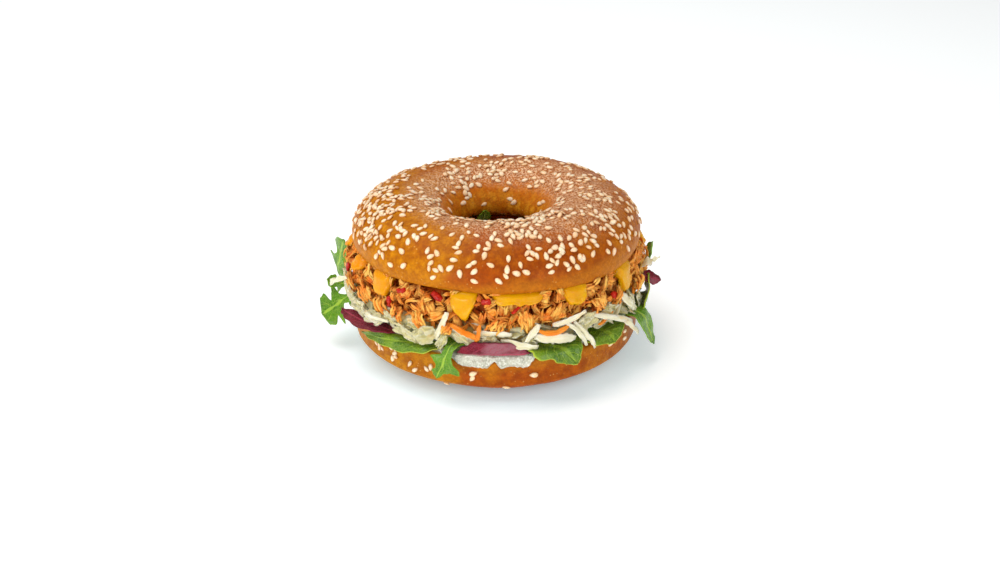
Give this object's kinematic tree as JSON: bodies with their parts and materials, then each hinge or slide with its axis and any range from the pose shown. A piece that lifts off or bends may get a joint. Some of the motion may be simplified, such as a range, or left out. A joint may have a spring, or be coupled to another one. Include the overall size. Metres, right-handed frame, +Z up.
{
  "type": "bagel sandwich",
  "caption": "Closed sesame bagel sandwich filled with soft cheese, salad leaves, slaw, pulled chicken and melted cheese.",
  "frame": {"origin": "on the surface that it rests on, below the middle of its whole footprint, leaves included", "axes": "+Z up through the hole, +X to the right and -Y towards the viewer in the picture"},
  "size_m": [0.1401, 0.1272, 0.0658],
  "materials": {
    "crust": "golden to red-brown baked crust with a soft shine, fine pores and sesame seeds",
    "soft_cheese": "white, smooth and slightly moist",
    "slaw": "pale translucent cabbage with orange carrot, wet with dressing",
    "chicken": "torn strands, orange-brown and moist, with bits of red pepper",
    "melted_cheese": "smooth glossy yellow",
    "green_leaf": "fresh leaf with pale veins",
    "red_leaf": "dark red leaf with a mauve sheen"
  },
  "bodies": {
    "root": {"bagel_crown": "crust", "bagel_heel": "crust", "soft_cheese": "soft_cheese", "leaf_bed": "green_leaf", "slaw": "slaw", "pulled_chicken": "chicken", "melted_cheese": "melted_cheese", "rocket_front": "green_leaf", "spinach_front_left": "green_leaf", "red_leaf_front": "red_leaf", "spinach_front_right": "green_leaf", "spinach_under": "green_leaf", "spinach_right": "green_leaf", "rocket_right": "green_leaf", "red_leaf_left": "red_leaf", "rocket_left_low": "green_leaf", "rocket_left_small": "green_leaf", "rocket_left_tall": "green_leaf", "spinach_right_tall": "green_leaf", "red_leaf_right": "red_leaf", "rocket_right_back": "green_leaf", "spinach_right_back": "green_leaf", "rocket_back": "green_leaf", "red_leaf_back": "red_leaf", "spinach_back": "green_leaf", "rocket_back_left": "green_leaf", "rocket_in_hole": "green_leaf"}
  },
  "joints": []
}
